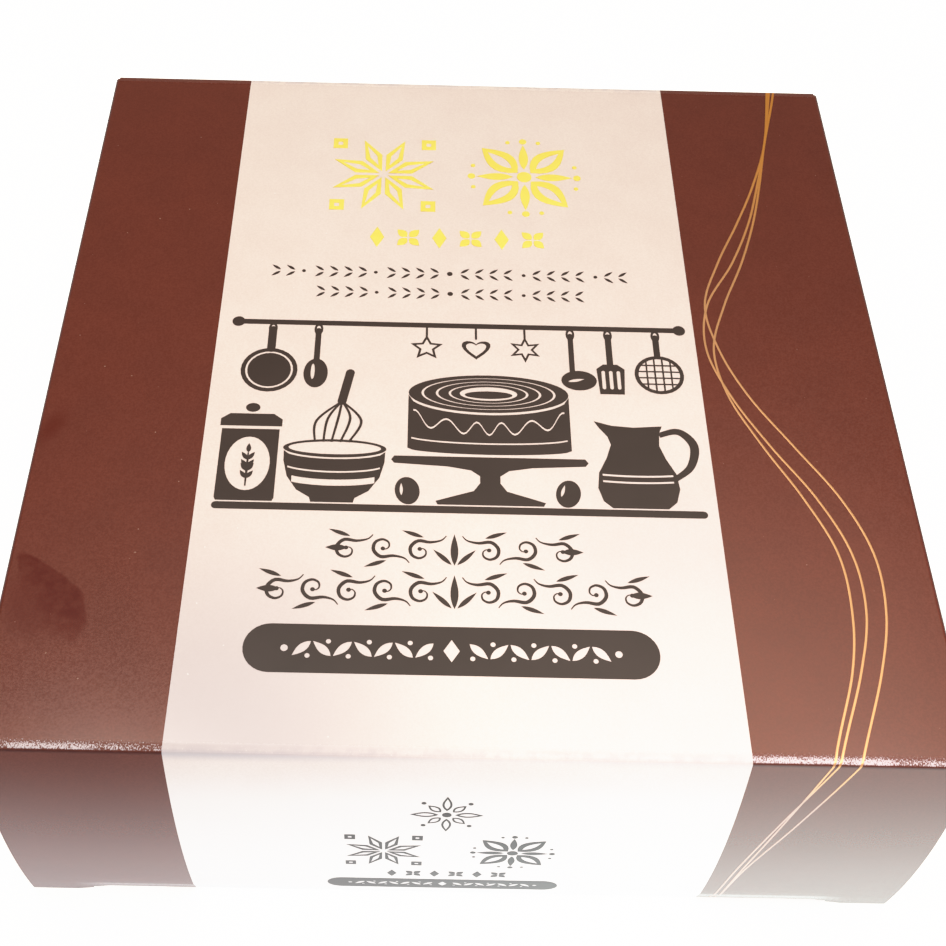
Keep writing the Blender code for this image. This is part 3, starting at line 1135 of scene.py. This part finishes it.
def new_material(name, roughness, metallic=0.0):
    """A material with its node tree and the inputs of its Principled BSDF."""
    material = bpy.data.materials.new(name)
    material.use_nodes = True
    shader = material.node_tree.nodes["Principled BSDF"].inputs
    shader["Roughness"].default_value = roughness
    shader["Metallic"].default_value = metallic
    shader["IOR"].default_value = 1.5
    return material, material.node_tree, shader


def relief(tree, shader, height):
    """Relief from a height in millimetres."""
    bump = add(tree, "ShaderNodeBump", {"Height": height, "Distance": MM, "Strength": 1.0})
    tree.links.new(bump.outputs["Normal"], shader["Normal"])


def laminate(name, groups, shades, fleck_and_glint, crease_shade, amount, dulled, speckle, marks):
    """Printed, laminated board: a field of colour with mottling, grain, broken creases and marks, with
    painted light in it: glints in the crease flecks, painted shade along the creases, and among the
    marks painted shade and a painted sheen.

    The painted shade of a crease shows by the shares dulled: in the line under a crease and on its
    bend. The third number says how far these two shares vary in patches."""
    material, tree, shader = new_material(name, 0.2)
    grain = place_group(tree, groups["grain"])
    wear_and_shade = place_group(tree, groups["wear_and_shade"], Amount=amount)
    handled_and_painted = place_group(tree, groups["handling_and_painted_light"])
    field = mixed(tree, grain["Mottle"], *shades)
    grey = add(tree, "ShaderNodeCombineColor", {
        channel: ramp(tree, grain["Fine"], 0.3, 0.7, 1 - speckle, 1 + speckle)
        for channel in ("Red", "Green", "Blue")
    }).outputs[0]
    field = mixed(tree, 1.0, field, grey, "MULTIPLY")
    # The marks: smudges and dust, and on the cream also painted shade and a painted sheen
    for mask, share, tint in marks:
        field = mixed(tree, product(tree, handled_and_painted[mask], share), field, tint)
    # Painted shade along the creases: their line and bend take the darker colour, in patches
    *shares, patchy = dulled
    patches = ramp(tree, wear_and_shade["Patch"], 0.0, 1.0, 1 - patchy, 1 + patchy, "LINEAR")
    for mask, share in zip(("Line", "Bend"), shares):
        field = mixed(tree, product(tree, wear_and_shade[mask], share, patches), field, crease_shade)
    # Crease flecks: partly bare board and partly painted glints
    worn_and_glinting = mixed(tree, wear_and_shade["FleckGlint"], field, fleck_and_glint)
    tree.links.new(worn_and_glinting, shader["Base Color"])
    film = ramp(tree, grain["Fine"], 0.3, 0.7, *FILM_ROUGHNESS)
    smeared = ramp(tree, handled_and_painted["Smudge"], 0.0, 0.8, film, SMUDGE_ROUGHNESS)
    roughness = ramp(tree, wear_and_shade["Bend"], 0.0, 0.7, smeared, BEND_ROUGHNESS)
    tree.links.new(roughness, shader["Roughness"])
    relief(tree, shader, grain["Height"])
    return material, shader


def brown_laminate(groups):
    # Painted shade: the brown darkens in the line under a crease and along the top's side edges
    material, _ = laminate("brown_laminate", groups, BROWN, BROWN_FLECK_AND_GLINT, BROWN_CREASE_SHADE, 1.0,
                           (0.75, 0.0, 0.1), 0.08, BROWN_MARKS)
    return material


def cream_laminate(groups):
    """The cream band has a pearly lustre, so it gleams more than the brown."""
    # Painted shade: the cream darkens a little in the line under a crease and, in patches, over its bend
    material, shader = laminate("cream_laminate", groups, CREAM, CREAM_FLECK_AND_GLINT, CREAM_CREASE_SHADE, 0.1,
                                (0.08, 0.3, 0.85), 0.035, CREAM_MARKS)
    shader["Specular IOR Level"].default_value = 0.8
    shader["Sheen Weight"].default_value = 0.5
    shader["Sheen Roughness"].default_value = 0.35
    shader["Sheen Tint"].default_value = (0.8, 0.92, 1, 1)
    return material


def mottled(name, grain_group, shades, roughness, metallic=0.0, **grain_values):
    """A plain finish in two near shades, with the board's grain in its relief."""
    material, tree, shader = new_material(name, roughness, metallic)
    grain = place_group(tree, grain_group, **grain_values)
    tree.links.new(mixed(tree, grain["Mottle"], *shades), shader["Base Color"])
    relief(tree, shader, grain["Height"])
    return material, shader


def bare_board(grain_group):
    material, _ = mottled("bare_board", grain_group, RAW_BOARD, 0.85, Grain=0.01)
    return material


def dark_ink(grain_group):
    material, shader = mottled("dark_ink", grain_group, INK_BLACK, 0.35)
    shader["Specular IOR Level"].default_value = 0.4
    shader["Specular Tint"].default_value = (0.7, 0.88, 1, 1)
    return material


def gold_foil(grain_group):
    material, _ = mottled("gold_foil", grain_group, FOIL_YELLOW, 0.36, 0.3, Grain=0.002)
    return material


def gold_ink(grain_group):
    """Gold ink with a satin lustre. Its colour holds painted light: orange towards the back and paler on
    the front panel, with a darker painted shade low on the front panel.
    """
    material, tree, shader = new_material("gold_ink", 0.3, 0.6)
    grain = place_group(tree, grain_group, Grain=0.002)
    axes = axes_of(tree, local_place(tree))
    # Painted light: paler towards the front where the light is stronger, painted shade low on the front
    # panel
    on_top = mixed(tree, ramp(tree, axes["Y"], 10 * MM, 75 * MM), GOLD_LIT_FRONT, GOLD_BACK)
    lower = product(tree, ramp(tree, axes["Z"], 57 * MM, 46 * MM),
                    math_node(tree, "LESS_THAN", axes["Y"], 0.0))
    colour = mixed(tree, lower, on_top, GOLD_SHADED_LOWER)
    dulled = mixed(tree, product(tree, grain["Mottle"], 0.06), colour, GOLD_DULL)
    tree.links.new(dulled, shader["Base Color"])
    relief(tree, shader, grain["Height"])
    return material


# Stage, light and camera

ROOM_LIGHT = 0.45
ROOM_COLOUR = (1, 1, 0.97, 1)
FLAG_LIGHT = 0.17
FLAG_EDGES = (22, 32, 50, 58)  # elevations where the flag starts, is dark, and ends again
CEILING_LIGHT = (1.25, 4.2)  # on the left and on the right, over the room's
CEILING_EDGES = ((57, 72), (50, 67))  # elevations between which each of the two rises
CEILING_COLOUR = (1, 0.91, 0.7, 1)
FLAG_RISES = (0.05, 0.35)  # how far to the back a ray points where the flag starts and is dark
CEILING_SIDES = (-0.2, 0.3)  # and how far to the right, from the left ceiling to the right one
SEEN_WHITE = 1.8
LAMPS = (
    ("left_lamp", (-110, -20, 300), 100, 0.235, (1, 0.78, 0.68)),
    ("right_lamp", (105, -70, 180), 80, 0.06, (1, 0.72, 0.7)),
    ("front_lamp", (38, -108, 140), 50, 0.06, (1, 0.8, 0.75)),
)
FLOOR_SIZE = 6.0
FLOOR_GAP = 0.05 * MM
FLOOR_WHITE = (0.8, 0.8, 0.79, 1)
FLOOR_GLOW = (1.1, 0.9)  # towards the carton and towards the camera
FLOOR_GLOW_TINTS = ((0.95, 0.98, 1, 1), (1, 1, 0.96, 1))

# How bright the floor is where it is mirrored in the front panel: at the far and the near line
MIRRORED_BESIDE = 1.0
MIRRORED_END = (-97 * MM, -68 * MM)  # behind this it is as bright as beside the carton
MIRRORED_LEFT = (0.35, 1.6)
MIRRORED_LEFT_LINES = (-142 * MM, -90 * MM)
MIRRORED_RIGHT = (2.3, 3.0)
MIRRORED_RIGHT_LINES = (-138 * MM, -105 * MM)
MIRRORED_TINTS = ((1, 0.99, 1, 1), (0.96, 1.05, 1.01, 1))  # on the left and on the right
TONE = (
    (0.0, 0.0), (0.3, 0.3), (0.5, 0.5), (0.65, 0.642), (0.8, 0.78), (0.95, 0.885), (1.1, 0.95),
    (1.3, 0.982), (1.6, 0.992), (2.2, 1.0), (3.0, 1.0),
)  # how bright each amount of light is shown

CAMERA_PLACE = (-11.484, -193.41, 287.03)
CAMERA_TURN = (40.21, -1.166, 0.678)
CAMERA_SHIFT = (0.0515, -0.1159)
CAMERA_LENS = 57.05


def pale_floor():
    """A wide white surface, part of the stage and not of the carton. What is mirrored of it in the
    front panel is brighter on the right, as under a window, and darker far off on the left."""
    start_fresh()
    bpy.ops.mesh.primitive_plane_add(size=FLOOR_SIZE, location=(0, 0, -FLOOR_GAP))
    floor = bpy.context.object
    floor.name = "floor"
    material, tree, shader = new_material("white_floor", 0.8)
    shader["Base Color"].default_value = FLOOR_WHITE
    rays = add(tree, "ShaderNodeLightPath").outputs
    seen = rays["Is Camera Ray"]
    tree.links.new(mixed(tree, seen, *FLOOR_GLOW_TINTS), shader["Emission Color"])
    tree.links.new(ramp(tree, seen, 0.0, 1.0, *FLOOR_GLOW), shader["Emission Strength"])

    axes = axes_of(tree, local_place(tree))
    # Painted light: seen in reflections, the floor glows brighter on the right and darker far off on the
    # left
    left = ramp(tree, axes["Y"], *MIRRORED_LEFT_LINES, *MIRRORED_LEFT)
    right = ramp(tree, axes["Y"], *MIRRORED_RIGHT_LINES, *MIRRORED_RIGHT)
    across = ramp(tree, axes["X"], -WIDTH / 2, WIDTH / 2, left, right)
    strength = ramp(tree, axes["Y"], *MIRRORED_END, across, MIRRORED_BESIDE)
    tint = mixed(tree, ramp(tree, axes["X"], -WIDTH / 2, WIDTH / 2), *MIRRORED_TINTS)
    mirrored_light = add(tree, "ShaderNodeEmission", {"Color": tint, "Strength": strength}).outputs[0]
    plain = tree.nodes["Principled BSDF"].outputs[0]
    shares = {0: rays["Is Glossy Ray"], 1: plain, 2: mirrored_light}
    both = add(tree, "ShaderNodeMixShader", shares).outputs[0]
    tree.links.new(both, tree.nodes["Material Output"].inputs["Surface"])
    floor.data.materials.append(material)


def soft_room():
    """Even light from all round and a brighter ceiling, apart from a dark flag behind the carton that
    keeps its top free of sheen. The camera sees the room as white."""
    world = bpy.data.worlds.new("soft_room")
    bpy.context.scene.world = world
    world.use_nodes = True
    tree = world.node_tree
    axes = axes_of(tree, add(tree, "ShaderNodeTexCoord").outputs["Generated"])
    start, dark, bright, end = (math.sin(math.radians(angle)) for angle in FLAG_EDGES)
    risen = ramp(tree, axes["Z"], start, dark)
    below_end = ramp(tree, axes["Z"], bright, end, 1.0, 0.0)
    flag = product(tree, risen, below_end, ramp(tree, axes["Y"], *FLAG_RISES))
    room = ramp(tree, flag, 0.0, 1.0, ROOM_LIGHT, FLAG_LIGHT, "LINEAR")
    sides = []
    for edges, light in zip(CEILING_EDGES, CEILING_LIGHT):
        low, high = (math.sin(math.radians(angle)) for angle in edges)
        sides.append(ramp(tree, axes["Z"], low, high, 0.0, light))
    ceiling = ramp(tree, axes["X"], *CEILING_SIDES, *sides)
    lit = math_node(tree, "ADD", room, ceiling)
    shares = {0: add(tree, "ShaderNodeLightPath").outputs["Is Camera Ray"], 2: lit, 3: SEEN_WHITE}
    strength = add(tree, "ShaderNodeMix", shares, data_type="FLOAT").outputs[0]
    colour = mixed(tree, math_node(tree, "DIVIDE", ceiling, lit), ROOM_COLOUR, CEILING_COLOUR)
    background = tree.nodes["Background"].inputs
    tree.links.new(colour, background["Color"])
    tree.links.new(strength, background["Strength"])


def lamp(name, place, size, power, colour):
    """A round lamp over the carton, shining straight down."""
    light = bpy.data.lights.new(name, "AREA")
    light.shape = "DISK"
    light.size = size * MM
    light.energy = power
    light.color = colour
    holder = bpy.data.objects.new(name, light)
    holder.location = Vector(place) * MM
    holder.visible_camera = False
    bpy.context.scene.collection.objects.link(holder)


def tone():
    """A plain view with a soft shoulder, so that the cream band keeps its colour near white."""
    view = bpy.context.scene.view_settings
    view.view_transform = "Standard"
    view.use_curve_mapping = True
    mapping = view.curve_mapping
    brightest = TONE[-1][0]
    mapping.white_level = (brightest,) * 3
    for light, shown in TONE[1:-1]:
        mapping.curves[3].points.new(light / brightest, shown)
    mapping.update()


def camera():
    view = bpy.data.cameras.new("camera")
    view.lens = CAMERA_LENS
    view.sensor_width = 36
    view.shift_x, view.shift_y = CAMERA_SHIFT
    view.clip_start = 10 * MM
    holder = bpy.data.objects.new("camera", view)
    holder.location = Vector(CAMERA_PLACE) * MM
    holder.rotation_euler = [math.radians(turn) for turn in CAMERA_TURN]
    bpy.context.scene.collection.objects.link(holder)
    bpy.context.scene.camera = holder


camera()
pale_floor()
soft_room()
for settings in LAMPS:
    lamp(*settings)
tone()

grain_group = board_grain()
groups = {"grain": grain_group, "wear_and_shade": crease_wear_and_shade(), "handling_and_painted_light": handling_and_painted_light()}
brown = brown_laminate(groups)
cream = cream_laminate(groups)
bare = bare_board(grain_group)

board = fold_sleeve()
hang_end_panel(board)
turn_side_flaps(board)
finish_board(board, brown, cream, bare)
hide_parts("carton")

ink = print_ink(dark_ink(grain_group))
foil = print_foil(gold_foil(grain_group))
lines = print_gold_lines(gold_ink(grain_group))

for piece in (board, ink, foil, lines):
    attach(piece, "root")
